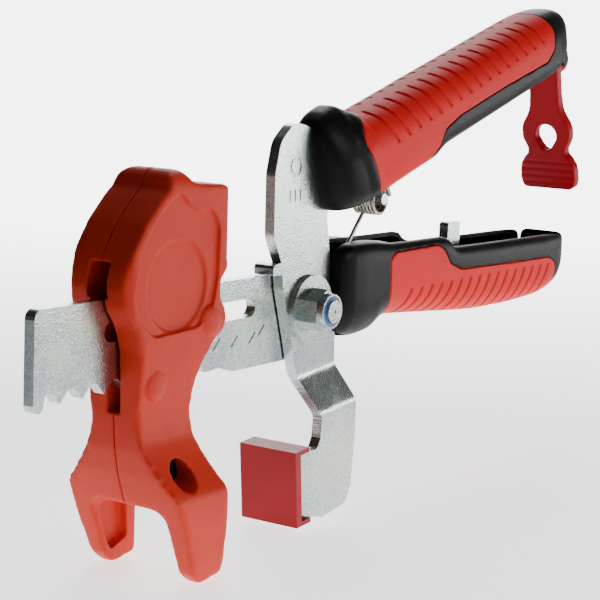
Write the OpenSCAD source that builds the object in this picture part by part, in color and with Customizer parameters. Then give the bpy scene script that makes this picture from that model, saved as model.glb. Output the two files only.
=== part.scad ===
// Adjustable tile-levelling traction pliers.
// A toothed steel bar carries a sliding two-legged foot; a pivoting
// pressed lever draws a capped jaw towards the foot's legs.
// The shapes are laid out around the pivot bolt: +X along the bar to
// the handles, +Z up, -Y the nut side. place() then moves the origin
// to the middle of the jaw cap's pressing face.

/* [Bar] */
// Thickness of the bar and of the lever plate
plate_t = 4; // [3:0.5:5]
// Distance from the pivot to the bar's free end
bar_reach = 134.5; // [120:0.5:150]
// Top edge above the pivot axis
bar_top = 13; // [10:0.5:16]
// Pitch of the locking teeth
tooth_pitch = 10; // [8:0.5:12]
// Number of notches along the lower edge
tooth_count = 8; // [6:1:10]
// Height of the guide slot
slot_h = 6.3; // [5:0.1:8]

/* [Pivot] */
// Bolt thread diameter
bolt_d = 8; // [6:1:10]
// Bush outside diameter
bush_d = 10; // [9:0.5:12]
// Wide washer diameter
washer_d = 24; // [20:1:30]
// Nut width across flats
nut_af = 13; // [10:1:17]

/* [Lever] */
// Tilt of the open lever from the square position
lever_tilt = 5.5; // [0:0.5:10]
// Sideways step that carries the jaw clear of the bar
joggle = 5.9; // [4:0.1:8]
// Width of the jaw cap across the tool
cap_w = 24; // [20:1:30]
// Height of the jaw cap
cap_h = 27.6; // [20:0.2:34]

/* [Foot] */
// Notch offset of the foot along the bar
foot_shift = 0; // [-30:10:30]
// Gap between the two legs
leg_gap = 30; // [24:1:36]
// Width of the foot head
head_w = 24; // [20:1:30]
// Diameter of the shallow side disc
disc_d = 30.6; // [24:0.2:34]

/* [Handles] */
// Slope of the upper handle when the tool is open
grip_rise = 17; // [10:0.5:24]
// Width of both handles
grip_w = 28; // [24:1:32]
// Number of finger grooves in each soft inlay
groove_count = 16; // [8:1:20]

/* [Strap] */
// Thickness of the rubber hanging strap
strap_t = 5; // [3:0.5:7]

/* [Hidden] */
lever_y = -2.5 - plate_t;
grip_y = lever_y + plate_t / 2;
strap_lean = 13;
cap_front = -17.4;
cap_mid = -61.2;
guide_x = -63;
guide_z = 2.7;
lock_x = -88;
lock_z = -14.6;
coil_x = 34;
coil_z = 37;
strap_x = 177;
strap_z = 88;
zinc = [0.72, 0.75, 0.74];
dark = [0.13, 0.13, 0.14];
soft = [0.84, 0.2, 0.17];
shell = [0.72, 0.22, 0.15];
$fn = 48;

// ---- helpers ----

// Move the pivot-based layout to the jaw face origin.
module place() {
  jx = cap_front * cos(lever_tilt) - cap_mid * sin(lever_tilt);
  jz = cap_front * sin(lever_tilt) + cap_mid * cos(lever_tilt);
  translate([-jx, 0, -jz])
    children();
}

// A flat outline in X and Z, made solid from y0 to y0 + t.
module slab(y0, t) {
  translate([0, y0 + t, 0])
    rotate([90, 0, 0])
      linear_extrude(t)
        children();
}

// A round bar along Y from y0 to y1 at x, z.
module rod(r, y0, y1, x, z) {
  translate([x, y1, z])
    rotate([90, 0, 0])
      cylinder(r = r, h = y1 - y0);
}

// The square frame of the lever, tilted to its open stop.
module lever_frame() {
  rotate([0, -lever_tilt, 0])
    children();
}

// The upper handle's own axis: X along the handle.
module grip_frame() {
  rotate([0, -grip_rise, 0])
    children();
}

// Points of an arc from angle a to angle b.
function arc(cx, cz, r, a, b, n = 6) =
  [for (i = [0 : n]) [cx + r * cos(a + (b - a) * i / n),
                      cz + r * sin(a + (b - a) * i / n)]];

// Handle cross-section with separate top and bottom corner radii.
function section(hw, z0, z1, rt, rb) = concat(
  arc(hw - rb, z0 + rb, rb, -90, 0, 4),
  arc(hw - rt, z1 - rt, rt, 0, 90, 6),
  arc(-hw + rt, z1 - rt, rt, 90, 180, 6),
  arc(-hw + rb, z0 + rb, rb, 180, 270, 4));

// One thin station of a handle at x; s = [x, hw, z0, z1, rt, rb].
module station(s) {
  translate([s[0], 0, 0])
    rotate([90, 0, 90])
      linear_extrude(0.2, center = true)
        polygon(section(s[1], s[2], s[3], s[4], s[5]));
}

// A smooth body through a list of stations.
module body_through(list) {
  for (i = [0 : len(list) - 2])
    hull() {
      station(list[i]);
      station(list[i + 1]);
    }
}

// A low rounded button of radius r and height h, facing -Y.
module dome(r, h, x, y, z) {
  big = (r * r + h * h) / (2 * h);
  a = asin(r / big);
  translate([x, y, z])
    rotate([90, 0, 0])
      rotate_extrude()
        polygon(concat([[0, -0.6], [r, -0.6]],
          [for (i = [0 : 6])
            [max(0, big * sin(a * (1 - i / 6))),
             big * cos(a * (1 - i / 6)) - (big - h)]]));
}

module hex_prism(af, y0, y1, x, z) {
  translate([x, y1, z])
    rotate([90, 0, 0])
      rotate([0, 0, 30])
        cylinder(r = af / sqrt(3), h = y1 - y0, $fn = 6);
}

// ---- fixed frame ----

// One notch of the rack, listed from right to left about x.
function notch(x) = [[x + 4.9, -16.2], [x + 1.6, -12.6], [x + 0.8, -12.3],
                     [x - 0.8, -12.3], [x - 1.6, -12.6], [x - 4.9, -16.2]];

function bar_outline() = concat(
  arc(-bar_reach + 3, bar_top - 3, 3, 180, 90, 5),
  [[22, bar_top], [30, 16.7], [103, 16.7]],
  arc(104.5, 21.5, 1.5, 180, 90, 4),
  arc(111, 21.5, 1.5, 90, 0, 4),
  [[112.5, 12], [115, 10], [184, 10], [184, -2], [50, -3.2], [40, -4]],
  [[14, -8]],
  [[3, -18], [-38, -18], [-40, -17], [-45.5, -15.8], [-51, -16.2]],
  [for (k = [tooth_count - 1 : -1 : 1])
    each notch(-128 + k * tooth_pitch)],
  [[-123.1, -16.2], [-126.4, -12.6], [-127.2, -12.3], [-128.8, -12.3]],
  [[-129.6, -13], [-130.6, -17.2], [-131.6, -18], [-133, -17.9]],
  [[-134, -17], [-134.5, -15.5]]);

// One slanted scale stroke engraved in the near face.
module stroke(x, z, len) {
  translate([x, -plate_t / 2, z])
    rotate([0, -45, 0])
      translate([0, -0.5, -0.5])
        cube([len, 0.8, 1]);
}

module bar_frame() {
  color(zinc)
    place()
      difference() {
        slab(-plate_t / 2, plate_t)
          difference() {
            polygon(bar_outline());
            polygon(concat(
              arc(-100.45, guide_z, slot_h / 2, 90, 270, 12),
              arc(-28.55, guide_z, slot_h / 2, -90, 90, 12)));
            circle(r = bush_d / 2 + 0.02);
          }
        stroke(-48.9, -9.5, 5);
        stroke(-38.9, -9.5, 5);
        stroke(-29, -9.5, 5);
        stroke(-23.5, -7.2, 4.5);
      }
}

lower_list = [[13, 11.5, -7, 18.5, 4, 5], [19, 13.4, -12, 21.5, 3, 7],
              [34, 14, -13, 21.6, 2, 7.5], [44, 14, -7.8, 20.1, 1.5, 7],
              [85, 14, -10.4, 20, 1.5, 8], [94, 14, -11.2, 15.4, 1.5, 8.5],
              [172, 14, -12, 14.6, 1.5, 8.5], [193, 8, -6, 12, 3, 5]];

module lower_body() {
  body_through(lower_list);
}

// Zone of the soft inlay, seen from the side.
module lower_inlay_zone() {
  slab(-20, 40)
    polygon([[39, -30], [41.4, -2], [41.4, 14.3], [45.3, 16.6],
             [76.5, 17.1], [81, 14.5], [85, 9.9], [94.5, 6.3],
             [173, 4.6], [178, 2.1], [178, -6], [171, -30]]);
}

// The inner face of the inlay pocket in the shell.
module lower_core() {
  body_through([[36, 12, -10.5, 25, 2, 6], [44, 12, -5.5, 25, 2, 6],
                [90, 12, -8.8, 25, 2, 7], [180, 12, -10, 25, 2, 7]]);
}

module lower_grip_shell() {
  color(dark)
    place()
      difference() {
        lower_body();
        difference() {
          lower_inlay_zone();
          lower_core();
        }
        // open channel along the handle
        slab(-10.2, 20.4)
          polygon([[44, -4.3], [90, -5.4], [150, -6.2], [183, -5], [188, 2],
                   [189, 30], [44, 30]]);
        // slit for the bar
        slab(-2.05, 4.1)
          polygon([[0, -18.5], [2, -18.5], [14, -8.2], [45, -4.2],
                   [45, 40], [0, 40]]);
        // room for the swinging lever and the spring's leg
        slab(-7.1, 6)
          polygon([[0, -20], [24, -20], [24, 5], [45, 5], [45, 40],
                   [0, 40]]);
        rod(washer_d / 2 + 1, -11, -7, 0, 0);
        rod(washer_d / 2 + 1, 2, 11, 0, 0);
      }
}

// Shallow grooves across the inlay.
module lower_grooves() {
  for (i = [0 : groove_count - 1])
    for (s = [-1, 1])
      translate([56 + i * 7.4, s * 14.3, -1.5])
        rotate([0, 22, 0])
          cube([1.2, 1.6, 9 - abs(i - 8) * 0.3], center = true);
}

module lower_grip_inlay() {
  color(soft)
    place()
      difference() {
        intersection() {
          lower_body();
          lower_inlay_zone();
        }
        lower_core();
        lower_grooves();
      }
}

module pivot_bolt() {
  color(zinc)
    place()
      difference() {
        union() {
          hex_prism(nut_af, 4.1, 9.4, 0, 0);
          rod(bolt_d / 2, -17.6, 4.1, 0, 0);
        }
        rod(0.6, -18, -17.1, 0, 0);
      }
}

module pivot_nut() {
  color(zinc)
    place()
      difference() {
        union() {
          hex_prism(nut_af, -14.2, -8.5, 0, 0);
          rod(6.1, -16.5, -14.2, 0, 0);
        }
        rod(bolt_d / 2 + 0.02, -15, -8, 0, 0);
        rod(5.4, -17, -14.4, 0, 0);
      }
}

module nut_insert() {
  color([0.2, 0.3, 0.55])
    place()
      difference() {
        rod(5.38, -16.4, -14.42, 0, 0);
        rod(bolt_d / 2 + 0.02, -17, -14, 0, 0);
      }
}

module washer_front() {
  color(zinc)
    place()
      difference() {
        rod(washer_d / 2, -8.5, lever_y - 0.05, 0, 0);
        rod(bolt_d / 2 + 0.2, -9, -6, 0, 0);
      }
}

module washer_back() {
  color(zinc)
    place()
      difference() {
        rod(washer_d / 2 - 4, 2, 4.1, 0, 0);
        rod(bolt_d / 2 + 0.2, 1, 5, 0, 0);
      }
}

module pivot_bush() {
  color([0.6, 0.5, 0.3])
    place()
      difference() {
        rod(bush_d / 2, lever_y - 0.05, 1.95, 0, 0);
        rod(bolt_d / 2 + 0.05, -8, 3, 0, 0);
      }
}

// ---- lever ----

// The lever's blank: the plate itself and the tang that runs inside
// the upper handle to the strap's ear.
module lever_blank() {
  slab(-30, 60)
    difference() {
      union() {
        rotate(lever_tilt)
          polygon([[12, -74.3], [-3.5, -75.2], [-4.2, -73.4],
            [-4.2, -49.1], [-2.9, -48.6], [-1.3, -38.8], [-7.2, -24.7],
            [-8.9, -20.3], [-11, -9.1], [-15.2, 9.5], [-15.5, 18.3],
            [-19.8, 28.3], [-17.8, 52.9], [-16, 57.4], [-13.4, 60.8],
            [-5.7, 65.9], [4, 63], [14, 52], [14, 34], [12.3, 31.1],
            [16.1, -11.3], [15.5, -23.1], [20.6, -37.2], [19.8, -48.7],
            [16, -70.6]]);
        rotate(grip_rise)
          polygon(concat(
            [[8, 40], [14, 33.5], [30, 36], [168, 36], [183, 32]],
            arc(195, 32.4, 5, -120, 90, 12),
            [[186, 39], [176, 46], [170, 50], [30, 52], [18, 60]],
            [[9, 63]]));
      }
      translate([strap_x, strap_z])
        circle(r = 2.55);
      circle(r = bush_d / 2 + 0.05);
    }
}

// Side view of the pressed step: upper sheet, slope, lower sheet.
module lever_sheet() {
  a = lever_y;
  translate([-50, 0, 0])
    rotate([90, 0, 90])
      linear_extrude(260)
        polygon([[a, 140], [a, -23.6], [a - joggle, -37.3],
                 [a - joggle, -80], [a - joggle + plate_t, -80],
                 [a - joggle + plate_t, -36.2], [a + plate_t, -22.4],
                 [a + plate_t, 140]]);
}

// The jaw flange, turned towards the bar's line through a bend.
module lever_flange() {
  y0 = lever_y - joggle;
  translate([0, 0, -73.4])
    linear_extrude(24.3)
      polygon(concat(
        arc(-4.2, y0 + 10, 10, 270, 180, 8),
        [[-14.2, 10.8], [-10.2, 10.8]],
        arc(-4.2, y0 + 10, 6, 180, 270, 8)));
}

module lever_plate() {
  color(zinc)
    place() {
      intersection() {
        lever_blank();
        lever_frame()
          lever_sheet();
      }
      lever_frame()
        lever_flange();
      // stop lug bent over the bar's top edge
      translate([-22, lever_y, bar_top + 0.3])
        cube([6.5, 8.1, 3.7]);
    }
}

upper_list = [[15.6, 7.5, 32, 60, 6, 4], [25, 13.4, 28.4, 64.6, 11, 5],
              [40.5, 14, 28, 57.4, 12.5, 4], [79, 14, 28.3, 57, 12.5, 3],
              [86, 14, 30.5, 57, 12.5, 3], [160, 14, 30.5, 57, 12.5, 3],
              [182, 13, 31.5, 56, 11.5, 4], [197, 7, 41, 52, 5, 4]];

module upper_body() {
  translate([0, grip_y, 0])
    body_through(upper_list);
}

module upper_inlay_zone() {
  slab(-30, 60)
    polygon([[44, 80], [40.5, 58], [36, 56.2], [32.4, 53.2],
             [31.3, 49.8], [33, 45.7], [35.5, 36], [37.2, 31.4],
             [41.5, 29.6], [74, 30.8], [79, 33], [84, 38.5], [95.5, 40.4],
             [131, 40.4], [168, 39.4], [174, 42], [177, 50], [176, 80]]);
}

module upper_core() {
  translate([0, grip_y, 0])
    body_through([[18, 12, 20, 55.2, 10.5, 2], [180, 12, 20, 55, 10.5, 2]]);
}

module upper_grip_shell() {
  color(dark)
    place()
      grip_frame()
        difference() {
          union() {
            difference() {
              upper_body();
              difference() {
                upper_inlay_zone();
                upper_core();
              }
              // open channel along the underside
              translate([0, grip_y, 0])
                slab(-10, 20)
                  polygon([[33, 20], [183, 20], [181, 44], [170, 50.2],
                           [45, 50.2], [33, 44]]);
            }
            // lug that carries the spring's pin
            slab(4.4, 3)
              polygon(concat(arc(43.33, 25.44, 4.5, 180, 360, 8),
                             [[49, 34], [36, 34]]));
          }
          // slit for the plate
          slab(lever_y - 0.03, plate_t + 0.06)
            polygon([[0, 20], [24, 20], [34, 30], [186, 27],
                     [215, 27], [215, 36], [190, 42], [176, 50.1],
                     [30, 52.1], [18, 60.2], [9, 70], [0, 70]]);
          rod(2.08, -20, 20, 43.33, 25.44);
        }
}

module upper_grooves() {
  translate([0, grip_y, 0])
    for (i = [0 : groove_count - 1])
      for (s = [-1, 1])
        translate([48.5 + i * 7.8, s * 12.6, 50.5])
          rotate([s * -32, 0, 0])
            cube([1.2, 6, 10], center = true);
}

module upper_grip_inlay() {
  color(soft)
    place()
      grip_frame()
        difference() {
          intersection() {
            upper_body();
            upper_inlay_zone();
          }
          upper_core();
          difference() {
            upper_grooves();
            translate([0, grip_y, 0])
              body_through([[30, 13.2, 20, 56.2, 11.7, 2],
                            [180, 13.2, 20, 56.2, 11.7, 2]]);
          }
        }
}

module jaw_cap() {
  c0 = cap_front;
  z0 = cap_mid - cap_h / 2;
  color([0.75, 0.12, 0.1])
    place()
      lever_frame()
        difference() {
          translate([c0, -cap_w / 2, z0])
            cube([8.5, cap_w, cap_h]);
          // seat for the flange
          translate([c0 + 3.2 - 0.03, -20, -73.43])
            cube([4.06, 30.83, 24.36]);
          // mouth behind the flange
          translate([c0 + 7.2, -20, -70])
            cube([3, 40, 17.5]);
          // room for the bend
          translate([c0 + 3.2 - 0.03, -20, -73.43])
            cube([9, 18, 24.36]);
        }
}

module spring_pin() {
  color(zinc)
    place()
      rod(2, -14.6, 7.4, coil_x, coil_z);
}

// One closed turn of wire about the coil's axis.
module turn(y) {
  translate([coil_x, y, coil_z])
    rotate([90, 0, 0])
      rotate_extrude()
        translate([5.2, 0])
          circle(r = 0.75, $fn = 16);
}

module spring_coil() {
  color([0.55, 0.54, 0.5])
    place()
      for (i = [0 : 5])
        turn(-13.4 + i * 1.44);
}

// The coil's last turn and the straight leg to the lower handle.
module spring_leg() {
  color([0.55, 0.54, 0.5])
    place()
      translate([coil_x, -4.35, coil_z])
        rotate([90, 40.9, 0]) {
          rotate_extrude(angle = 300)
            translate([5.2, 0])
              circle(r = 0.75, $fn = 16);
          translate([5.2, 0, 0])
            rotate([90, 0, 0])
              cylinder(r = 0.75, h = 29, $fn = 16);
        }
}

// ---- strap ----

module strap_pin() {
  color(zinc)
    place()
      rod(2.5, grip_y - 8, grip_y + 8, strap_x, strap_z);
}

function strap_side(s) = [for (p = [[6.8, 88], [6.8, 71], [7.4, 67],
  [8.8, 64], [10.5, 61], [11.2, 58], [10.4, 53], [8.7, 49.8], [8.7, 48.4],
  [11, 45.6], [12.6, 42], [12.8, 37.5], [11.8, 32.6]]) [s * p[0], p[1]]];

module strap() {
  right = strap_side(1);
  left = strap_side(-1);
  n = len(left);
  color([0.62, 0.1, 0.1])
    place()
      difference() {
        union() {
          translate([strap_x, grip_y, strap_z])
            rotate([0, -strap_lean, 0])
              translate([-4 - strap_t / 2, 0, -strap_z])
                rotate([90, 0, 90])
                  linear_extrude(strap_t)
                    difference() {
                      polygon(concat(right,
                                     [for (i = [n - 1 : -1 : 0]) left[i]]));
                      polygon(concat(arc(0, 56, 4.9, 200, -20, 12),
                                     [[2, 49.8], [-2, 49.8]]));
                    }
          rod(5, grip_y - 7, grip_y + 7, strap_x, strap_z);
        }
        strap_hollow();
      }
}

// The pin's bore and the fork that straddles the ear.
module strap_hollow() {
  rod(2.55, -20, 20, strap_x, strap_z);
  translate([strap_x - 14, lever_y - 0.4, strap_z - 7.5])
    cube([32, plate_t + 0.8, 16]);
}

// ---- foot ----

module foot_place() {
  translate([foot_shift, 0, 0])
    children();
}

function foot_profile() = [[-77.2, 52], [-82, 51.8], [-84.6, 50],
  [-85, 48.6], [-84, 46.6], [-88, 43], [-95, 36.4], [-101, 28.2],
  [-104.4, 21.6], [-105.6, 16.7], [-104.2, 10.5], [-99.7, 4.5],
  [-97.6, -3], [-96.7, -11.3],
  [-96.3, -24], [-95.6, -32], [-94, -42], [-91.8, -48], [-90.3, -53],
  [-81, -75.5], [-79.2, -77.8], [-76, -79], [-65.6, -77.2],
  [-65, -76.4], [-65, -50], [-67.4, -40], [-69, -32], [-69.5, -21.6],
  [-67.4, -14.5], [-65.8, -10.7], [-61, -3.2], [-57.4, -1.6],
  [-55, 0.8], [-54.4, 3.2], [-55.4, 6.4], [-57.9, 9.4], [-58.3, 16.6],
  [-55.4, 19], [-54.7, 21], [-55.6, 46.2], [-74, 48], [-75.6, 50]];

function foot_half_width() = [[8.4, 52.2], [10.8, 50], [12, 46.4], [12, -3], [11.2, -9], [10, -18],
  [9.7, -26], [10.3, -32], [13.5, -37], [16, -41], [19, -45],
  [22.4, -48.4], [23.2, -53], [22.8, -66], [20.8, -79.5]];

module foot_solid() {
  w = foot_half_width();
  n = len(w);
  k = head_w / 24;
  difference() {
    intersection() {
      slab(-25, 50)
        polygon(foot_profile());
      translate([-120, 0, 0])
        rotate([90, 0, 90])
          linear_extrude(80)
            polygon(concat([for (p = w) [p[0] * k, p[1]]],
              [for (i = [n - 1 : -1 : 0]) [-w[i][0] * k, w[i][1]]]));
    }
    // arch between the legs
    translate([-120, 0, 0])
      rotate([90, 0, 90])
        linear_extrude(80)
          polygon(concat([[leg_gap / 2, -90]],
            arc(leg_gap / 2 - 5, -59, 5, 0, 90, 6),
            arc(-leg_gap / 2 + 5, -59, 5, 90, 180, 6),
            [[-leg_gap / 2, -90]]));
    // relief behind the bridge, where the jaw cap comes close
    slab(-13.2, 26.4)
      polygon([[-60, -31], [-68.6, -33], [-73.6, -39], [-74.2, -45],
               [-74.2, -56], [-60, -56]]);
    // channel for the bar, wider above it so the foot can rock
    slab(-2.6, 5.2)
      polygon([[-120, -23], [-40, -23], [-40, 14.5], [-120, 27]]);
    slab(-4, 8)
      polygon([[-120, 13.6], [-40, 13.6], [-40, 14.5], [-120, 27]]);
    // shallow discs
    for (s = [-1, 1])
      rod(disc_d / 2, min(s * 11, s * 13), max(s * 11, s * 13), -80, 16);
    // windows in the legs' inner faces
    translate([-80, -leg_gap / 2 - 2, -73])
      cube([10, leg_gap + 4, 12]);
    // bores for the two pins
    rod(3.15, -9.2, 9.2, guide_x, guide_z);
    rod(2.02, -8.1, 8.1, lock_x, lock_z);
    // screw with its head and nut seats
    rod(2.2, -30, 30, -82.7, -43);
    rod(5, -30, -9, -82.7, -43);
    hex_prism(8.1, 8.5, 30, -82.7, -43);
  }
}

module foot_half_front() {
  color(shell)
    place()
      foot_place()
        difference() {
          union() {
            foot_solid();
            dome(5.5, 1.8, guide_x, -head_w / 2, guide_z);
            dome(5.2, 1.8, lock_x, -10.4, lock_z);
          }
          translate([-150, -0.01, -100])
            cube([120, 60, 200]);
        }
}

module foot_half_back() {
  color(shell)
    place()
      foot_place()
        difference() {
          union() {
            foot_solid();
            mirror([0, 1, 0]) {
              dome(5.5, 1.8, guide_x, -head_w / 2, guide_z);
              dome(5.2, 1.8, lock_x, -10.4, lock_z);
            }
          }
          translate([-150, -59.99, -100])
            cube([120, 60, 200]);
        }
}

module slot_guide_pin() {
  color(zinc)
    place()
      foot_place()
        rod(3.1, -9, 9, guide_x, guide_z);
}

module lock_pin() {
  color(zinc)
    place()
      foot_place()
        rod(2, -8, 8, lock_x, lock_z);
}

module foot_screw() {
  color(zinc)
    place()
      foot_place()
        difference() {
          union() {
            rod(4.2, -11.8, -9, -82.7, -43);
            rod(2, -9, 11.5, -82.7, -43);
          }
          hex_prism(3, -12.5, -10.4, -82.7, -43);
        }
}

module foot_nut() {
  color(zinc)
    place()
      foot_place()
        difference() {
          hex_prism(7, 8.52, 11.6, -82.7, -43);
          rod(2.02, 8, 12, -82.7, -43);
        }
}

bar_frame();
lower_grip_shell();
lower_grip_inlay();
pivot_bolt();
pivot_nut();
nut_insert();
washer_front();
washer_back();
pivot_bush();
lever_plate();
upper_grip_shell();
upper_grip_inlay();
jaw_cap();
spring_pin();
spring_coil();
spring_leg();
strap_pin();
strap();
slot_guide_pin();
foot_half_front();
foot_half_back();
lock_pin();
foot_screw();
foot_nut();
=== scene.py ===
import bpy, bmesh, math
import numpy as np
from mathutils import Matrix, Vector


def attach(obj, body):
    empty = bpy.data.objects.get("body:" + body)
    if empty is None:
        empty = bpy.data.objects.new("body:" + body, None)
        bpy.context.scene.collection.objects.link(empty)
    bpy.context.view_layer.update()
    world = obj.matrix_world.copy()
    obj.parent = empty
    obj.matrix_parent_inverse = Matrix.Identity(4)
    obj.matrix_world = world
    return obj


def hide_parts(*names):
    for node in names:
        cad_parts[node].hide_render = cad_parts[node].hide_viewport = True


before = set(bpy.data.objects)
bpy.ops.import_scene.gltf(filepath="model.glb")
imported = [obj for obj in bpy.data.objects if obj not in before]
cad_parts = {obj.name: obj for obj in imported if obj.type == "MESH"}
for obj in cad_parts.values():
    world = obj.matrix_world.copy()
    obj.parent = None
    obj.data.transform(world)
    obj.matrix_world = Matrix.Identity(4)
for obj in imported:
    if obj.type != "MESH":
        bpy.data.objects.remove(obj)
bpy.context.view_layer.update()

# The shapes are laid out in millimetres around the pivot bolt, as in the
# CAD part: +X to the handles, +Z up, -Y the nut side.
PIVOT_X, PIVOT_Z = 11.454, 62.588   # the bolt in the row frame
TO_ROW = Matrix.Translation((PIVOT_X / 1000, 0, PIVOT_Z / 1000)) @ Matrix.Scale(0.001, 4)
TILT = math.radians(5.5)        # open lever away from square
RISE = math.radians(17)         # upper handle's slope
LEVER_Y = -4.5                  # middle of the lever plate, upper handle and strap
JOGGLE = 5.9                    # sideways step of the lever
BEND_X, BEND_Z = -4.2, -48.0    # where the jaw flange starts to bend
BEND_R = 8                      # radius of that bend, mid thickness
STRAP_X, STRAP_Z = 177, 88      # strap pin
STRAP_LEAN = math.radians(-13)
COIL_X, COIL_Z = 34, 37         # spring pin
COIL_R = 5.2
WIRE_R = 0.74
SCREW_X, SCREW_Z = -82.7, -43   # foot screw
BORE_BUSH, BORE_PIN = 5.05, 2.55    # radii in the lever
SPLIT = 0.12                    # each half of the foot stops this far from the middle
GROOVES = 16                    # along each soft inlay


# ---------- mesh helpers ----------

def mesh_obj(name, verts, faces):
    """An object from points and faces, with the faces turned outward."""
    me = bpy.data.meshes.new(name)
    me.from_pydata([tuple(v) for v in verts], [], [tuple(f) for f in faces])
    me.validate()
    bm = bmesh.new()
    bm.from_mesh(me)
    bmesh.ops.recalc_face_normals(bm, faces=bm.faces)
    bm.to_mesh(me)
    bm.free()
    o = bpy.data.objects.new(name, me)
    bpy.context.scene.collection.objects.link(o)
    return o


def bake(o):
    """Applies the modifiers and clears them."""
    bpy.context.view_layer.update()
    dg = bpy.context.evaluated_depsgraph_get()
    me = bpy.data.meshes.new_from_object(o.evaluated_get(dg))
    old = o.data
    o.modifiers.clear()
    o.data = me
    bpy.data.meshes.remove(old)
    return o


def cut(o, tool, op="DIFFERENCE"):
    """Takes the tool's shape out of o, or adds it, and removes the tool."""
    m = o.modifiers.new("b", "BOOLEAN")
    m.operation, m.object, m.solver = op, tool, "EXACT"
    bake(o)
    bpy.data.objects.remove(tool)
    return o


def soften(o, voxel, rounds):
    """Closes the solid into an even skin and rounds its edges."""
    m = o.modifiers.new("r", "REMESH")
    m.mode, m.voxel_size = "VOXEL", voxel
    m = o.modifiers.new("s", "SMOOTH")
    m.factor, m.iterations = 0.5, rounds
    return bake(o)


def bevel(o, w, angle, seg):
    """Rounds every edge that is sharper than the angle."""
    m = o.modifiers.new("v", "BEVEL")
    m.width, m.segments, m.limit_method = w, seg, "ANGLE"
    m.angle_limit = math.radians(angle)
    return o


def smooth(o, angle):
    """Smooth shading, with edges past the angle kept sharp."""
    o.data.polygons.foreach_set("use_smooth", [True] * len(o.data.polygons))
    o.data.set_sharp_from_angle(angle=math.radians(angle))
    return o


def prism(pts, a, b, plane="XZ", name="tool"):
    """A flat outline made solid between a and b on the third axis."""
    n = len(pts)
    mk = {"XZ": lambda p, t: (p[0], t, p[1]), "YZ": lambda p, t: (t, p[0], p[1]),
          "XY": lambda p, t: (p[0], p[1], t)}[plane]
    v = [mk(p, a) for p in pts] + [mk(p, b) for p in pts]
    f = [tuple(range(n)), tuple(range(2 * n - 1, n - 1, -1))]
    f += [(i, (i + 1) % n, n + (i + 1) % n, n + i) for i in range(n)]
    return mesh_obj(name, v, f)


def arc(cx, cz, r, a, b, n):
    """Points along a circle from angle a to angle b, in degrees."""
    return [(cx + r * math.cos(math.radians(a + (b - a) * i / n)),
             cz + r * math.sin(math.radians(a + (b - a) * i / n))) for i in range(n + 1)]


def fillet(pts, r, n=5):
    """Rounds the corners of a closed outline; a third value is its own radius."""
    out = []
    for i, p in enumerate(pts):
        a, b, c = (np.array(q[:2], float) for q in (pts[i - 1], p, pts[(i + 1) % len(pts)]))
        rr = p[2] if len(p) > 2 else r
        u, w = a - b, c - b
        lu, lw = np.linalg.norm(u), np.linalg.norm(w)
        u, w = u / lu, w / lw
        half = math.acos(max(-1, min(1, float(u @ w)))) / 2
        t = min(rr / math.tan(half), 0.45 * lu, 0.45 * lw) if half < 1.56 else 0
        if rr <= 0 or t < 0.05:
            out.append(tuple(b))
            continue
        p0, p1 = b + u * t, b + w * t
        for k in range(n + 1):
            s = k / n
            out.append(tuple((1 - s) ** 2 * p0 + 2 * s * (1 - s) * b + s * s * p1))
    return out


def revolve(prof, x, y, z, side, n):
    """A round form about Y; prof is (radius, height), height pointing to side."""
    v, f = [], []
    for r, h in prof:
        for k in range(n):
            a = 2 * math.pi * k / n
            v.append((x + r * math.cos(a), y + side * h, z + r * math.sin(a)))
    m = len(prof)
    for j in range(m - 1):
        for k in range(n):
            f.append((j * n + k, j * n + (k + 1) % n, (j + 1) * n + (k + 1) % n, (j + 1) * n + k))
    f += [tuple(range(n)), tuple(range(m * n - 1, (m - 1) * n - 1, -1))]
    return mesh_obj("tool", v, f)


def box(x0, x1, y0, y1, z0, z1):
    """A block between two limits on each axis."""
    return prism([(x0, z0), (x1, z0), (x1, z1), (x0, z1)], y0, y1)


def raised(pts):
    """Side-view points along and across the upper handle, turned to X and Z."""
    c, s = math.cos(RISE), math.sin(RISE)
    return [(u * c - w * s, u * s + w * c) for u, w in pts]


def ease(x, lo, hi):
    """Smooth step from 0 at lo to 1 at hi."""
    t = np.clip((x - lo) / (hi - lo), 0, 1)
    return t * t * (3 - 2 * t)


def curve_through(xs, keys, col):
    """Smooth value at xs through rows of keys; column 0 holds the place."""
    k = np.array([r[0] for r in keys], float)
    v = np.array([r[col] for r in keys], float)
    d = np.diff(v) / np.diff(k)
    m = np.zeros(len(k))
    for i in range(1, len(k) - 1):
        m[i] = 0 if d[i - 1] * d[i] <= 0 else 2 * d[i - 1] * d[i] / (d[i - 1] + d[i])
    m[0], m[-1] = d[0], d[-1]
    i = np.clip(np.searchsorted(k, xs) - 1, 0, len(k) - 2)
    h = k[i + 1] - k[i]
    t = (xs - k[i]) / h
    return ((2 * t**3 - 3 * t**2 + 1) * v[i] + (t**3 - 2 * t**2 + t) * h * m[i]
            + (-2 * t**3 + 3 * t**2) * v[i + 1] + (t**3 - t**2) * h * m[i + 1])


def settle(o, body, slot_name, mat, *nodes):
    """Moves a finished piece into the row frame and ties it to its body."""
    o.data.transform(TO_ROW)
    o.data.materials.clear()
    o.data.materials.append(mat)
    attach(o, body)
    if nodes:
        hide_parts(*nodes)
    return o


# ---------- materials ----------

def material(name):
    """A new material: itself, its tree, its shader and object coordinates."""
    m = bpy.data.materials.new(name)
    m.use_nodes = True
    nt = m.node_tree
    p = nt.nodes["Principled BSDF"]
    tc = nt.nodes.new("ShaderNodeTexCoord")
    return m, nt, p, tc.outputs["Object"]


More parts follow.
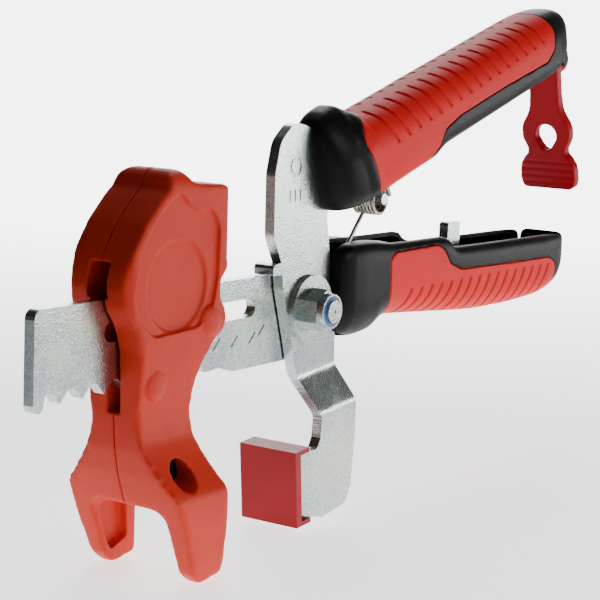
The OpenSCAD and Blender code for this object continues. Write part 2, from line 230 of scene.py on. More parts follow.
def noise(nt, co, scale, detail=3, rough=0.5, kind="ShaderNodeTexNoise"):
    """A procedural texture; detail and rough are for plain noise only."""
    n = nt.nodes.new(kind)
    n.inputs["Scale"].default_value = scale
    if kind == "ShaderNodeTexNoise":
        n.inputs["Detail"].default_value = detail
        n.inputs["Roughness"].default_value = rough
    nt.links.new(co, n.inputs["Vector"])
    return n


def ramp(nt, src, stops):
    """Colours picked by a value through (position, colour) stops."""
    r = nt.nodes.new("ShaderNodeValToRGB")
    e = r.color_ramp.elements
    while len(e) < len(stops):
        e.new(0.5)
    for k, (pos, col) in zip(e, stops):
        k.position = pos
        k.color = (*col, 1)
    nt.links.new(src, r.inputs["Fac"])
    return r.outputs["Color"]


def grey(nt, src, a, b, lo, hi):
    """A value from lo to hi mapped to one from a to b, and held outside."""
    m = nt.nodes.new("ShaderNodeMapRange")
    m.inputs["From Min"].default_value, m.inputs["From Max"].default_value = lo, hi
    m.inputs["To Min"].default_value, m.inputs["To Max"].default_value = a, b
    nt.links.new(src, m.inputs["Value"])
    return m.outputs["Result"]


def bump(nt, p, src, strength, dist):
    """Adds a height map over any bump that the shader has already."""
    b = nt.nodes.new("ShaderNodeBump")
    b.inputs["Strength"].default_value = strength
    b.inputs["Distance"].default_value = dist
    nt.links.new(src, b.inputs["Height"])
    old = p.inputs["Normal"].links
    if old:
        nt.links.new(old[0].from_socket, b.inputs["Normal"])
    nt.links.new(b.outputs["Normal"], p.inputs["Normal"])


def plastic(name, dark, mid, light, rough, grain, grain_scale, spec=0.5):
    """Moulded plastic or rubber: slow colour drift and a fine grain."""
    m, nt, p, co = material(name)
    big = noise(nt, co, 28, 4, 0.6)
    tint = ramp(nt, big.outputs["Fac"], [(0.3, dark), (0.5, mid), (0.75, light)])
    nt.links.new(tint, p.inputs["Base Color"])
    fine = noise(nt, co, grain_scale, 2, 0.6)
    rub = grey(nt, fine.outputs["Fac"], rough - 0.06, rough + 0.1, 0.3, 0.7)
    nt.links.new(rub, p.inputs["Roughness"])
    bump(nt, p, fine.outputs["Fac"], grain, 0.0004)
    p.inputs["Specular IOR Level"].default_value = spec
    return m


def zinc(name):
    """Bright zinc plate: greenish silver, faint lilac patches and a crystal sparkle."""
    m, nt, p, co = material(name)
    big = noise(nt, co, 34, 5, 0.62)
    tint = ramp(nt, big.outputs["Fac"],
                [(0.28, (0.38, 0.35, 0.50)), (0.42, (0.47, 0.52, 0.56)),
                 (0.56, (0.52, 0.59, 0.54)), (0.72, (0.60, 0.62, 0.52))])
    cry = noise(nt, co, 1500, kind="ShaderNodeTexVoronoi")
    mix = nt.nodes.new("ShaderNodeMix")
    mix.data_type, mix.blend_type = "RGBA", "MULTIPLY"
    mix.inputs["Factor"].default_value = 1.0
    nt.links.new(tint, mix.inputs["A"])
    spark = ramp(nt, cry.outputs["Color"], [(0.1, (0.72, 0.72, 0.74)), (0.6, (1, 1, 1))])
    nt.links.new(spark, mix.inputs["B"])
    nt.links.new(mix.outputs["Result"], p.inputs["Base Color"])
    p.inputs["Metallic"].default_value = 1.0
    nt.links.new(grey(nt, big.outputs["Fac"], 0.2, 0.31, 0.3, 0.7), p.inputs["Roughness"])
    bump(nt, p, cry.outputs["Distance"], 0.10, 0.0006)
    fine = noise(nt, co, 260, 4, 0.6)
    bump(nt, p, fine.outputs["Fac"], 0.12, 0.0006)
    return m


M_ZINC = zinc("zinc_plate")
M_FOOT = plastic("foot_plastic", (0.52, 0.020, 0.006), (0.57, 0.025, 0.008),
                 (0.62, 0.032, 0.011), 0.48, 0.25, 1500, spec=0.2)
M_BLACK = plastic("black_plastic", (0.002, 0.002, 0.0022), (0.0035, 0.0035, 0.0037),
                  (0.006, 0.0058, 0.006), 0.42, 0.16, 1300, spec=0.13)
M_INLAY = plastic("red_inlay", (0.66, 0.004, 0.005), (0.70, 0.005, 0.006),
                  (0.74, 0.007, 0.008), 0.55, 0.06, 1100, spec=0.2)
M_CAP = plastic("cap_plastic", (0.26, 0.0005, 0.006), (0.30, 0.0008, 0.007),
                (0.34, 0.001, 0.009), 0.42, 0.06, 900, spec=0.2)
M_STRAP = plastic("strap_rubber", (0.34, 0.0005, 0.008), (0.38, 0.001, 0.009),
                  (0.43, 0.002, 0.011), 0.45, 0.08, 900, spec=0.15)
M_NYLON = plastic("nylon_ring", (0.05, 0.12, 0.34), (0.06, 0.14, 0.38),
                  (0.08, 0.17, 0.42), 0.45, 0.05, 900)


def wire_metal(name, a, b, r0, r1):
    """Plain metal between two tones and two roughnesses."""
    m, nt, p, co = material(name)
    n = noise(nt, co, 220, 4, 0.6)
    nt.links.new(ramp(nt, n.outputs["Fac"], [(0.3, a), (0.7, b)]), p.inputs["Base Color"])
    nt.links.new(grey(nt, n.outputs["Fac"], r0, r1, 0.3, 0.7), p.inputs["Roughness"])
    p.inputs["Metallic"].default_value = 1.0
    return m


M_WIRE = wire_metal("spring_wire", (0.30, 0.27, 0.23), (0.46, 0.42, 0.36), 0.22, 0.36)
M_BUSH = wire_metal("bush_bronze", (0.42, 0.30, 0.14), (0.56, 0.42, 0.22), 0.3, 0.45)
M_DARK = wire_metal("black_oxide", (0.012, 0.010, 0.010), (0.03, 0.026, 0.026), 0.4, 0.6)


# ---------- foot ----------

# side view: x, z and the corner's radius
FOOT_SIDE = [(-77.2, 52.2, 2), (-81.8, 52, 3), (-84.7, 49.6, 1.8), (-84.9, 46.9, 1.2),
             (-89.6, 43.2, 10), (-96.6, 36.4, 12), (-102, 28.4, 12), (-105, 21.6, 10),
             (-105.7, 16.7, 3.5), (-104.2, 10.5, 5), (-99.7, 4.5, 8), (-97.2, -3, 10),
             (-96.5, -14, 20), (-96.2, -25, 20), (-95.4, -35, 20), (-93.6, -43, 12), (-91, -50.5, 8),
             (-81, -75.2, 3), (-76.4, -79, 3), (-65, -77.2, 2.5), (-65, -49.5, 5), (-68.6, -34, 25),
             (-69.5, -21.6, 15), (-66.6, -12, 12), (-60.6, -2.8, 5), (-56.4, -0.9, 4), (-54.4, 3.2, 4),
             (-55.7, 7.2, 3), (-58.1, 10, 3), (-58.3, 15.8, 2), (-54.8, 19, 1.5), (-55.6, 46.6, 1.2),
             (-73, 47.9, 3), (-75.8, 50.8, 2.5)]
# z and half width, from the crest down
FOOT_HALF = [(52.6, 6.6), (51.6, 9.2), (50.4, 10.6), (48.4, 11.7), (45.5, 12.2),
             (30, 12.2), (0, 12.2), (-6, 11.8), (-12, 11), (-20, 10), (-28, 9.8),
             (-33, 11), (-38, 14), (-42, 16.9), (-46, 20.2), (-49, 22.8), (-51.5, 23.2),
             (-58, 23.2), (-70, 22.2), (-79.5, 20.8)]
FACE_Y = 11.1                   # floor of the recess in the side faces


def foot_blank():
    """Side and front outlines crossed, arched below and rounded all over."""
    o = prism(fillet(FOOT_SIDE, 3, 6), -25, 25, name="foot")
    zs = np.linspace(-79.5, 52.6, 120)
    hw = np.interp(zs, [p[0] for p in FOOT_HALF[::-1]], [p[1] for p in FOOT_HALF[::-1]])
    front = [(h, z) for h, z in zip(hw, zs)] + [(-h, z) for h, z in zip(hw[::-1], zs[::-1])]
    cut(o, prism(front, -120, -40, "YZ"), "INTERSECT")
    arch = [(15, -90, 0), (15.2, -54, 6), (-15.2, -54, 6), (-15, -90, 0)]
    cut(o, prism(fillet(arch, 6, 8), -120, -40, "YZ"))
    # corners of the front edge, seen from above
    for s in (-1, 1):
        plan = [(-107, s * 9.4), (-104.6, s * 11), (-101.5, s * 12.3), (-101.5, s * 14),
                (-110, s * 14), (-110, s * 9)]
        cut(o, prism(plan if s > 0 else plan[::-1], 8, 30, "XY"))
    return soften(o, 0.9, 9)


def foot_details(o):
    """Recesses, domes, holes and channels."""
    face = [(-101.5, 14, 6), (-97.6, 30, 14), (-89.5, 39.6, 12), (-80.6, 45.6, 3),
            (-76.4, 41.6, 4), (-71.2, 39.2, 4), (-64, 39.4, 5), (-60, 33, 6),
            (-60.4, 17, 3), (-62.5, 8, 4), (-70, 2, 6), (-92, 1, 6), (-99, 7, 5)]
    disc = [(15.6, -0.55), (14.4, 0.6), (14.2, 0.9), (0.01, 0.9)]
    for s in (-1, 1):
        cut(o, prism(fillet(face, 3, 6), s * FACE_Y, s * 16))
        cut(o, revolve(disc[::-1] if s < 0 else disc, -80, s * FACE_Y, 16, -s, 72))
    # channel for the bar, wider above it
    bar_room = [(-120, -23), (-96, -23.4), (-40, -23), (-40, 14.5), (-120, 27.4)]
    cut(o, prism(fillet(bar_room, 0), -2.6, 2.6))
    cut(o, prism([(-120, 13.6), (-40, 13.6), (-40, 14.5), (-120, 27.2)], -4, 4))
    for s in (-1, 1):
        for x, z, r, y in ((-63, 2.9, 5.5, 11.0), (-89, -14.1, 5.2, 10.1)):
            dome = [(r + 0.2, -1.2), (r + 0.05, 0.2), (r * 0.94, 0.9), (r * 0.75, 1.5),
                    (r * 0.5, 1.85), (r * 0.25, 2.0), (0.02, 2.05)]
            cut(o, revolve(dome, x, s * y, z, s, 48), "UNION")
    # sunk hole for the screw, seat for the nut
    cut(o, revolve([(5, 0), (5, 22)], SCREW_X, -9, SCREW_Z, -1, 48))
    cut(o, revolve([(4.7, 0), (4.7, 22)], SCREW_X, 8.5, SCREW_Z, 1, 6))
    cut(o, revolve([(2.2, 0), (2.2, 30)], SCREW_X, 12, SCREW_Z, -1, 24))
    # relief behind the bridge, where the jaw cap comes close
    relief = [(-60, -39.6), (-68, -40, 1), (-73.4, -42, 3), (-74.2, -46, 3),
              (-74.2, -56), (-60, -56)]
    cut(o, prism(fillet(relief, 0), -13.3, 13.3))
    # windows in the inner faces of the legs
    win = [(-84.5, -57), (-71, -57), (-70, -71), (-78, -74), (-81, -69)]
    cut(o, prism(fillet(win, 1.5), -18, 18))
    return o


def mark(o, s):
    """A plain open arrow and two bars, pressed into the disc."""
    y0, y1 = (s * 10.2, s * 12) if s > 0 else (s * 12, s * 10.2)
    for dx in (0.0, 3.0):
        cut(o, box(-79.5 + dx * s, -78.5 + dx * s, y0, y1, 12, 20))
    for k in (-1, 1):
        limb = [(-86.5, 16 + k * 0.1), (-82.2, 16 + k * 5.2), (-81.2, 16 + k * 4.4),
                (-85.2, 16 + k * 0.1)]
        cut(o, prism(limb[::k], y0, y1))
    return o


whole = foot_details(foot_blank())
for side, node in ((-1, "foot_half_front"), (1, "foot_half_back")):
    half = whole.copy()
    half.data = whole.data.copy()
    half.name = node + "_skin"
    bpy.context.scene.collection.objects.link(half)
    y0, y1 = (-30, -SPLIT) if side < 0 else (SPLIT, 30)
    cut(half, box(-130, -40, y0, y1, -90, 60), "INTERSECT")
    mark(half, side)
    soften(half, 0.4, 2)
    smooth(half, 70)
    settle(half, "foot", "foot_plastic", M_FOOT, node)
bpy.data.objects.remove(whole)


# ---------- pressed lever ----------

def lever_outline():
    """The flat blank in the square frame; left of BEND_X it becomes bend and flange."""
    strip = BEND_X - math.pi / 2 * BEND_R - 13.2
    return fillet([
        (12.5, -74.3, 4), (-3.5, -75.2, 1.5), (-5, -73.6, 1), (strip, -73.4, 1.5),
        (strip, -49.1, 1.5), (-4.6, -49.1, 2), (-2.6, -46, 2), (-1.3, -38.8, 2),
        (-5, -30, 3), (-7.2, -24.7, 3), (-8.9, -20.3, 6), (-11, -9.1, 10),
        (-15.2, 9.5, 6), (-15.5, 18.3, 4), (-19.8, 28.3, 8), (-18.2, 50, 9),
        (-14.5, 60.5, 8), (-6, 66, 7), (4, 63, 2), (15.5, 52, 2), (14, 34, 3),
        (12.3, 31.1, 10), (16.1, -11.3, 10), (15.5, -23.1, 3), (18, -30, 3),
        (20.6, -37.2, 3), (19.8, -48.7, 10), (16.2, -69, 7)], 3, 5)


def joggle(z):
    """Sideways step between two tight folds."""
    z1, z2, r = -23.6, -37.0, 0.55
    slope = JOGGLE / (z1 - z2)

    def fold(t):
        return r * np.logaddexp(0, t / r)

    return -slope * (fold(z1 - z) - fold(z2 - z))


def make_lever():
    """The blank is sliced, folded and bent, then joined with its lug and tang."""
    o = prism(lever_outline(), -2, 2, name="lever_skin")
    bm = bmesh.new()
    bm.from_mesh(o.data)
    bmesh.ops.triangulate(bm, faces=[f for f in bm.faces if len(f.verts) > 4])
    folds = (BEND_Z, *np.arange(-40.5, -33.5, 0.5), *np.arange(-27, -20, 0.5))
    cuts = [((0, 0, z), (0, 0, 1)) for z in folds]
    cuts += [((x, 0, 0), (1, 0, 0)) for x in np.arange(-16.8, -4.0, 0.63)]
    for co, no in cuts:
        bmesh.ops.bisect_plane(bm, geom=bm.verts[:] + bm.edges[:] + bm.faces[:],
                               plane_co=co, plane_no=no)
    ca, sa = math.cos(TILT), math.sin(TILT)
    for v in bm.verts:
        x, t, z = v.co
        y = LEVER_Y + t + float(joggle(z))
        if x < BEND_X and z < BEND_Z:
            s = BEND_X - x
            a = min(s / BEND_R, math.pi / 2)
            x = BEND_X - (BEND_R - t) * math.sin(a)
            y = (LEVER_Y - JOGGLE) + BEND_R - (BEND_R - t) * math.cos(a)
            y += max(0.0, s - BEND_R * math.pi / 2)
        v.co = (x * ca - z * sa, y, x * sa + z * ca)
    bm.to_mesh(o.data)
    bm.free()
    cut(o, revolve([(BORE_BUSH, 0), (BORE_BUSH, 12)], 0, -10, 0, 1, 64))
    # lug over the bar's top edge
    lug = [(-22, 13.3, 0.4), (-16.4, 13.3, 0), (-16.4, 17, 0), (-19, 17.4, 2),
           (-22.2, 16.6, 1.4)]
    cut(o, prism(fillet(lug, 0.3), -6.5, 1.6), "UNION")
    # tang through the upper handle, with the strap's ear
    ear = [(8, 44), (30, 40), (170, 38), (183, 32), *arc(195, 32.4, 5, -120, 90, 12),
           (186, 39), (176, 46), (170, 50), (30, 50), (9, 55)]
    cut(o, prism(raised(ear), -6.4, -2.6, name="tang"), "UNION")
    cut(o, revolve([(BORE_PIN, 0), (BORE_PIN, 12)], STRAP_X, -10, STRAP_Z, 1, 32))
    # plain ring and bar marks pressed into the shoulder
    ring = revolve([(3.4, 0), (3.4, 0.5), (2.6, 0.5), (2.6, 0)], -11, -6.2, 50, -1, 48)
    cut(o, ring)
    for k in range(3):
        cut(o, box(-14.5 + k * 3, -13.5 + k * 3, -7, -6.25, 38, 42))
    bevel(o, 0.45, 50, 2)
    bake(o)
    smooth(o, 50)
    o.modifiers.new("n", "WEIGHTED_NORMAL").keep_sharp = True
    return o


settle(make_lever(), "lever", "zinc_steel", M_ZINC, "lever_plate")


# ---------- handles ----------

def soft_zone(px, pz, poly):
    """Signed distance to a side-view outline, positive inside."""
    poly = np.array(poly)
    d = np.full(px.shape, 1e9)
    inside = np.zeros(px.shape, bool)
    for (x0, z0), (x1, z1) in zip(poly, np.roll(poly, -1, 0)):
        ex, ez = x1 - x0, z1 - z0
        t = np.clip(((px - x0) * ex + (pz - z0) * ez) / (ex * ex + ez * ez + 1e-12), 0, 1)
        d = np.minimum(d, np.hypot(px - x0 - t * ex, pz - z0 - t * ez))
        hit = (z0 > pz) != (z1 > pz)
        inside ^= hit & (px < (x1 - x0) * (pz - z0) / (z1 - z0 + 1e-12) + x0)
    return np.where(inside, d, -d)


def grid_mesh(name, P):
    """A closed skin over rings of points, capped at both ends."""
    n, m = P.shape[:2]
    idx = np.arange(n * m).reshape(n, m)
    a, b = idx[:-1], idx[1:]
    f = np.stack([a, np.roll(a, -1, 1), np.roll(b, -1, 1), b], -1).reshape(-1, 4).tolist()
    f.append(idx[0][::-1].tolist())
    f.append(idx[-1].tolist())
    return mesh_obj(name, P.reshape(-1, 3), f)


def grid_normals(P):
    """Outward unit normals of the rings."""
    du = np.gradient(P, axis=0)
    dv = np.roll(P, -1, 1) - np.roll(P, 1, 1)
    n = np.cross(dv, du)
    n /= np.linalg.norm(n, axis=2, keepdims=True) + 1e-9
    c = P.mean(axis=1, keepdims=True)
    flip = np.sign(((P - c) * n).sum(axis=2).mean())
    return n * flip


def contour(keys, us, m, top_n, bot_n):
    """Rounded sections along a handle. keys: place, half width, low, high."""
    hw = curve_through(us, keys, 1)[:, None]
    lo = curve_through(us, keys, 2)[:, None]
    hi = curve_through(us, keys, 3)[:, None]
    th = np.linspace(0, 2 * math.pi, m, endpoint=False)[None, :]
    c, s = np.cos(th), np.sin(th)
    n = np.where(s > 0, top_n, bot_n)
    y = hw * np.sign(c) * np.abs(c) ** (2 / n)
    w = (lo + hi) / 2 + (hi - lo) / 2 * np.sign(s) * np.abs(s) ** (2 / n)
    # even spacing along the contour
    out = np.zeros((len(us), m, 3))
    for i in range(len(us)):
        q = np.stack([y[i], w[i]], 1)
        q2 = np.vstack([q, q[:1]])
        L = np.concatenate([[0], np.cumsum(np.linalg.norm(np.diff(q2, axis=0), axis=1))])
        t = np.linspace(0, L[-1], m, endpoint=False)
        out[i, :, 0] = us[i]
        out[i, :, 1] = np.interp(t, L, q2[:, 0])
        out[i, :, 2] = np.interp(t, L, q2[:, 1])
    return out


FINE = 0.5
RING = 260
# stations of the upper handle: place, half width, low, high
UP_KEYS = [(15.4, 6.4, 34, 58.4), (16.8, 9.4, 31, 61.4), (19, 11.6, 29.6, 63.2),
           (23, 13.2, 28.6, 64.6), (28, 14, 28, 65.0), (33, 14.3, 27.9, 62.8),
           (37, 14.2, 27.9, 60), (40.5, 14, 28, 57.5), (46, 14, 28, 57),
           (60, 14, 28.2, 57), (78, 14, 28.3, 57), (83, 14, 29.6, 57),
           (88, 14, 30.5, 57), (120, 14, 30.5, 57), (165, 14, 30.5, 57),
           (178, 13.8, 30.8, 56.8), (187, 12.6, 32.4, 56), (193, 10.4, 35, 54.6),
           (196.4, 8, 38, 53), (198, 5.2, 41, 51.4)]
# side view of its soft inlay
UP_ZONE = fillet([(44, 90, 0), (40.6, 58, 2), (36, 56.2, 2), (32.3, 53.2, 4),
                  (31.2, 49.8, 5), (33, 45.5, 6), (35.6, 36, 4), (37, 30.4, 2.5),
                  (42, 29.2, 2.5), (74, 30.8, 4), (79.5, 33.5, 3), (84, 38.6, 5),
                  (95.5, 40.4, 10), (131, 40.4, 20), (168, 39.4, 6),
                  (174.5, 42.5, 5), (177, 50, 6), (176, 90, 0)], 4, 6)


def skins(name, P, zone, grooves, lip=lambda d: 0.0, turn=lambda Q: Q):
    """Shell and inlay over the same rings; each sinks where the other shows."""
    N = grid_normals(P)
    d = soft_zone(P[..., 0], P[..., 2], zone)
    out = lip(d) - 1.7 * ease(d, -0.35, 0.55)
    shell = grid_mesh(name + "_shell_skin", turn(P + N * out[..., None]))
    out = 0.12 - 1.9 * (1 - ease(d, -0.5, 0.45)) - 0.95 * grooves * ease(d, 1, 2)
    return shell, grid_mesh(name + "_inlay_skin", turn(P + N * out[..., None]))


def up_grooves(P):
    """Curved grooves that wrap the soft inlay from the crown down the side."""
    u, y, w = P[..., 0], P[..., 1], P[..., 2]
    a = np.degrees(np.arctan2(w - 43, np.abs(y) + 1e-6))
    depth = np.zeros(u.shape)
    for k in range(GROOVES):
        stop = 6 + 0.9 * k
        line = 46.5 + 7.75 * k + 6.2 * ease(57 - w, -1, 17)
        end = ease(a, stop, stop + 3) * ease(np.abs(y), 2.4, 3.4)
        depth += (1 - ease(np.abs(u - line), 0.3, 0.85)) * end
    return depth


def upper_handle():
    """Head, grip and tail, open below, with the lug for the spring's pin."""
    us = np.concatenate([np.arange(15.4, 40, FINE * 0.8), np.arange(40, 180, FINE),
                         np.arange(180, 198.01, FINE * 0.6)])
    P = contour(UP_KEYS, us, RING, 2.5, 4.5)
    # the head's shoulders fall away on both sides of the bump
    P[..., 2] -= (4.6 * ease(np.abs(P[..., 1]), 2, 13) * ease(P[..., 2], 44, 55)
                  * (1 - ease(P[..., 0], 30, 43)))
    cr, sr = math.cos(RISE), math.sin(RISE)

    def turned(Q):
        R = Q.copy()
        R[..., 0] = Q[..., 0] * cr - Q[..., 2] * sr
        R[..., 2] = Q[..., 0] * sr + Q[..., 2] * cr
        R[..., 1] += LEVER_Y
        return R

    def lip(d):
        """The head ends in a raised lip in front of the soft inlay."""
        return (0.7 * ease(-d, -0.3, 0.7) * (1 - ease(-d, 1.4, 6))
                * (1 - ease(P[..., 0], 36, 41)) * ease(P[..., 2], 29, 33))

    shell, inlay = skins("upper", P, UP_ZONE, up_grooves(P), lip, turned)
    # open underside
    hollow = raised([(33, 20), (183, 20), (181, 44), (170, 50), (45, 50), (33, 44)])
    for o in (shell, inlay):
        cut(o, prism(hollow, LEVER_Y - 10, LEVER_Y + 10))
    lug = raised([(38.8, 25.4), *arc(43.3, 25.4, 4.5, 180, 360, 12)[1:],
                  (49, 35), (36, 35)])
    cut(shell, prism(lug, 5.6, 8.6), "UNION")
    return shell, inlay


# the lower handle lies along X
LOW_KEYS = [(12.6, 8, -4, 16.5), (13.6, 10.6, -8, 18.6), (16, 12.4, -10.6, 20.2),
            (20, 13.6, -12.4, 21.4), (27, 14, -13.2, 21.8), (34, 14, -12.6, 21.6),
            (40, 14, -9.6, 21), (46, 14, -7.6, 20.4), (60, 14, -8.4, 20.2),
            (80, 14, -10, 20.1), (86, 14, -10.4, 19.2), (90, 14, -10.8, 16.6),
            (95, 14, -11.2, 15.4), (120, 14, -12.8, 15), (140, 14, -13, 14.8),
            (165, 13.8, -12.2, 14.6), (180, 12.6, -9.6, 14.4), (188, 10.4, -6, 14),
            (192, 7.8, -2.4, 13.4), (193.6, 5, 1, 12.4)]
LOW_ZONE = fillet([(38.5, -30, 0), (42.5, -3, 6), (41.6, 14.6, 3), (45.3, 16.8, 2.5),
                   (76.5, 17.4, 4), (81, 14.8, 3), (85.5, 9.4, 5), (94.5, 6.4, 8),
                   (130, 5.6, 20), (170, 5, 4), (178, 2, 5), (177, -8, 8),
                   (168, -30, 0)], 4, 6)


def low_grooves(P):
    """Slanted grooves from the inlay's upper edge down and forward."""
    u, y, w = P[..., 0], P[..., 1], P[..., 2]
    depth = np.zeros(u.shape)
    for k in range(GROOVES):
        top = 3.4 - 0.06 * abs(k - 6)
        line = 57.5 + 7.45 * k - 6.5 * ease(top - w, -1, 13)
        depth += ((1 - ease(np.abs(u - line), 0.35, 1.0)) * ease(top - w, 0, 1)
                  * ease(np.abs(y), 5.5, 7.5))
    return depth


def lower_handle():
    """Grip open on top, with room for the bar, the lever and the spring's leg."""
    us = np.concatenate([np.arange(12.6, 44, FINE * 0.7), np.arange(44, 176, FINE),
                         np.arange(176, 193.61, FINE * 0.6)])
    P = contour(LOW_KEYS, us, RING, 7, 2.9)
    shell, inlay = skins("lower", P, LOW_ZONE, low_grooves(P))
    channel = [(44, -3), (90, -5), (150, -6), (178, -5), (188, 2), (189, 30), (44, 30)]
    bar_slit = [(0, -20), (3, -18.4), (14, -8.4), (45, -4.4), (45, 40), (0, 40)]
    lever_slit = [(0, -20), (24, -20), (24, 5), (45, 5), (45, 40), (0, 40)]
    for o in (shell, inlay):
        cut(o, prism(channel, -10.6, 10.6))
        cut(o, prism(bar_slit, -2.2, 2.2))
        cut(o, prism(lever_slit, -7.1, -1))
    # cross ribs on the channel floor
    for x in (120, 140, 160):
        cut(shell, box(x, x + 1.6, -11, 11, -8, 6), "UNION")
    return shell, inlay


for maker, body, nodes in ((upper_handle, "lever", ("upper_grip_shell", "upper_grip_inlay")),
                           (lower_handle, "frame", ("lower_grip_shell", "lower_grip_inlay"))):
    shell, inlay = maker()
    smooth(shell, 50)
    smooth(inlay, 50)
    settle(shell, body, "black_grip", M_BLACK, nodes[0])
    settle(inlay, body, "red_inlay", M_INLAY, nodes[1])


# ---------- spring ----------

def tube(name, pts, r, n=12):
    """A round wire along a path of points."""
    P = np.array(pts, float)
    T = np.gradient(P, axis=0)
    T /= np.linalg.norm(T, axis=1, keepdims=True)
    ref = np.array([0, 1.0, 0.001])
    A = np.cross(T, ref)
    A /= np.linalg.norm(A, axis=1, keepdims=True)
    B = np.cross(T, A)
    th = np.linspace(0, 2 * math.pi, n, endpoint=False)
    ring = A[:, None] * np.cos(th)[None, :, None] + B[:, None] * np.sin(th)[None, :, None]
    return grid_mesh(name, P[:, None] + r * ring)


def on_coil(deg, y):
    """A point of the coil's circle at the given angle and Y."""
    a = math.radians(deg)
    return (COIL_X + COIL_R * math.cos(a), y, COIL_Z + COIL_R * math.sin(a))


# the winding: its turns, first angle, first Y and length along Y
TURNS, FROM_DEG, FROM_Y, LONG_Y = 4.75, 10, -13.5, 7.2
steps = int(TURNS * 36)
windings = [on_coil(FROM_DEG + 360 * TURNS * i / steps, FROM_Y + LONG_Y * i / steps)
            for i in range(steps + 1)]
coil = tube("spring_coil_wire", windings, WIRE_R)
settle(smooth(coil, 80), "lever", "spring_wire", M_WIRE, "spring_coil")

# the last turn, then the straight leg along its tangent
leg_path = [on_coil(a, -4.45) for a in range(259, -41, -10)]
leg_path += [(COIL_X + 3.93 - 0.6547 * s, -4.35, COIL_Z - 3.4 - 0.7559 * s)
             for s in (0.8, 4, 10, 18, 26, 28.9)]
leg = tube("spring_leg_wire", leg_path, WIRE_R)
settle(smooth(leg, 80), "lever", "spring_wire", M_WIRE, "spring_leg")


# ---------- strap ----------

def make_strap():
    """Flat rubber strap with a drop-shaped hole, hung on its pin at a slant."""
    side = [(88, 6.8), (75, 6.7), (71, 6.8), (67, 7.4), (64, 8.8), (61, 10.5),
            (58, 11.2), (55, 11), (52, 9.7), (49.8, 8.7), (48.4, 8.7), (46, 10.7),
            (42, 12.6), (38, 12.9), (35, 12.5), (33.4, 11.6), (32.6, 10)]
    zs = np.linspace(32.6, STRAP_Z, 60)
    hw = curve_through(zs, side[::-1], 1)
    out = [(h + LEVER_Y, z) for h, z in zip(hw, zs)]
    out += [(-h + LEVER_Y, z) for h, z in zip(hw[::-1], zs[::-1])]
    o = prism(out, 170.6, 175.4, "YZ", name="strap_skin")
    drop = [(y + LEVER_Y, z) for y, z in arc(0, 56, 4.9, -20, 200, 24)]
    drop += [(-2 + LEVER_Y, 50.4), (LEVER_Y, 49.4), (2 + LEVER_Y, 50.4)]
    cut(o, prism(drop, 165, 180, "YZ"))
    # shallow grip ribs across the lower wedge
    for z in (35, 38, 41, 44):
        cut(o, box(169, 170.9, -30, 25, z, z + 1))
        cut(o, box(175.1, 178, -30, 25, z, z + 1))
    pin = Matrix.Translation((STRAP_X, 0, STRAP_Z))
    unpin = Matrix.Translation((-STRAP_X, 0, -STRAP_Z))
    o.data.transform(pin @ Matrix.Rotation(STRAP_LEAN, 4, "Y") @ unpin)
    # round eye, its bore and the fork for the lever's ear
    cut(o, revolve([(4.9, 0), (4.9, 13.8)], STRAP_X, LEVER_Y - 6.9, STRAP_Z, 1, 40), "UNION")
    cut(o, revolve([(2.6, 0), (2.6, 40)], STRAP_X, -25, STRAP_Z, 1, 32))
    cut(o, box(163, 195, -7, -2, 80.5, 96.5))
    return soften(o, 0.45, 4)


settle(smooth(make_strap(), 75), "strap_body", "strap_rubber", M_STRAP, "strap")


# ---------- CAD pieces shown as they are ----------

PAINT = {"bar_frame": M_ZINC, "pivot_bolt": M_ZINC, "pivot_nut": M_ZINC,
         "washer_front": M_ZINC, "washer_back": M_ZINC, "strap_pin": M_DARK,
         "spring_pin": M_ZINC, "slot_guide_pin": M_ZINC, "lock_pin": M_ZINC,
         "foot_screw": M_DARK, "foot_nut": M_ZINC, "nut_insert": M_NYLON,
         "pivot_bush": M_BUSH, "jaw_cap": M_CAP}
# widths of the rounded edges, in metres
EDGE = {"bar_frame": 0.0004, "pivot_nut": 0.0006, "pivot_bolt": 0.0005,
        "washer_front": 0.0005, "jaw_cap": 0.0014}
for node, mat in PAINT.items():
    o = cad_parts[node]
    o.data.materials.clear()
    o.data.materials.append(mat)
    if node in EDGE:
        bevel(o, EDGE[node], 40, 3)
    o.modifiers.new("n", "WEIGHTED_NORMAL").keep_sharp = True


# ---------- stage ----------

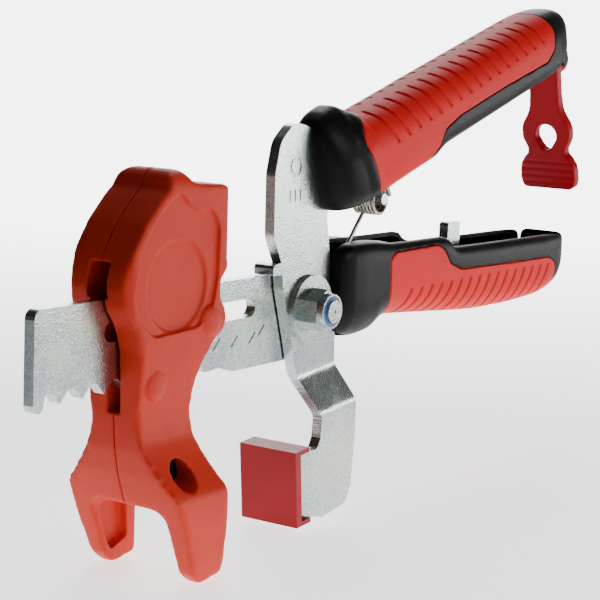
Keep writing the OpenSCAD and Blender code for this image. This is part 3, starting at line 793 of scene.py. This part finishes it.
def stage_plane():
    """A pale floor that runs up into a wall behind the tool."""
    floor_z, r, turn = -79.3, 900, math.radians(34.3)
    prof = [(-1500, floor_z), *arc(900, floor_z + r, r, -90, 0, 15), (1800, 5000)]
    c, s = math.cos(turn), math.sin(turn)
    v, f = [], []
    for x, z in prof:
        for t in (-4000, 4000):
            v.append((x * c - t * s, x * s + t * c, z))
    for i in range(len(prof) - 1):
        f.append((2 * i, 2 * i + 1, 2 * i + 3, 2 * i + 2))
    o = mesh_obj("studio_sweep", v, f)
    o.data.transform(TO_ROW)
    m, nt, p, co = material("sweep_white")
    n = noise(nt, co, 3, 2, 0.5)
    paint = ramp(nt, n.outputs["Fac"], [(0.3, (0.9, 0.9, 0.9)), (0.7, (0.92, 0.92, 0.92))])
    nt.links.new(paint, p.inputs["Base Color"])
    p.inputs["Roughness"].default_value = 0.9
    p.inputs["Specular IOR Level"].default_value = 0.1
    p.inputs["Emission Color"].default_value = (1, 1, 1, 1)

    def along(x, y):
        """How far a point lies in one level direction, in metres."""
        d = nt.nodes.new("ShaderNodeVectorMath")
        d.operation = "DOT_PRODUCT"
        nt.links.new(co, d.inputs[0])
        d.inputs[1].default_value = (x, y, 0)
        return d.outputs["Value"]

    def times(u, w):
        d = nt.nodes.new("ShaderNodeMath")
        d.operation = "MULTIPLY"
        nt.links.new(u, d.inputs[0])
        nt.links.new(w, d.inputs[1])
        return d.outputs[0]

    # it glows only in the strip behind the tool, so the metal has dark sides to reflect
    glow = grey(nt, along(c, s), 1.7, 5.0, 0.2, 1.0)
    glow = times(glow, grey(nt, along(c, s), 0.0, 1.0, -0.30, -0.09))
    spread = 0.17
    for k in (-1, 1):
        aside = along(-s * k - spread * c, c * k - spread * s)
        glow = times(glow, grey(nt, aside, 1.0, 0.0, 0.17, 0.25))
    nt.links.new(glow, p.inputs["Emission Strength"])
    o.data.materials.append(m)
    smooth(o, 60)


stage_plane()


def area(name, pos, target, size, power, color=(1, 1, 1)):
    """A soft rectangular lamp aimed at a point; metres in the row frame."""
    d = bpy.data.lights.new(name, "AREA")
    d.shape, d.energy, d.color = "RECTANGLE", power, color
    d.size, d.size_y = size
    o = bpy.data.objects.new(name, d)
    p, t = Vector(pos), Vector(target)
    aim = (t - p).to_track_quat("-Z", "Y").to_matrix().to_4x4()
    o.matrix_world = Matrix.Translation(p) @ aim
    bpy.context.scene.collection.objects.link(o)


area("key", (1.05, -0.85, 0.03), (0.0, 0, 0.05), (1.2, 0.22), 8)
area("near", (0.1, -1.5, 0.72), (0.0, 0, 0.08), (0.6, 0.25), 9)
area("top", (0.35, 0.25, 1.3), (0.0, 0, 0.08), (0.4, 0.4), 1.6)
area("left_fill", (-1.2, -0.5, 0.4), (-0.05, 0, 0.05), (0.4, 0.3), 0.08, (0.8, 0.86, 1.0))
world = bpy.data.worlds.new("studio")
world.use_nodes = True
sky = world.node_tree.nodes["Background"].inputs
sky["Color"].default_value = (1, 1, 1, 1)
sky["Strength"].default_value = 0.03
bpy.context.scene.world = world

# the camera stands where the photograph was taken from
turn, down, roll = math.radians(55.67), math.radians(8.51), math.radians(2.18)
ahead = Vector((math.cos(down) * math.sin(turn), math.cos(down) * math.cos(turn), -math.sin(down)))
level = Vector((math.cos(turn), -math.sin(turn), 0))
plumb = level.cross(ahead)
right = math.cos(roll) * level + math.sin(roll) * plumb
up = -math.sin(roll) * level + math.cos(roll) * plumb
cam_data = bpy.data.cameras.new("camera")
cam_data.sensor_width, cam_data.lens = 36, 108
cam_data.clip_start, cam_data.clip_end = 0.05, 30
cam = bpy.data.objects.new("camera", cam_data)
eye = TO_ROW @ Vector((-515.29, -354.59, 95.85))
cam.matrix_world = Matrix(((right.x, up.x, -ahead.x, eye.x), (right.y, up.y, -ahead.y, eye.y),
                           (right.z, up.z, -ahead.z, eye.z), (0, 0, 0, 1)))
bpy.context.scene.collection.objects.link(cam)
bpy.context.scene.camera = cam
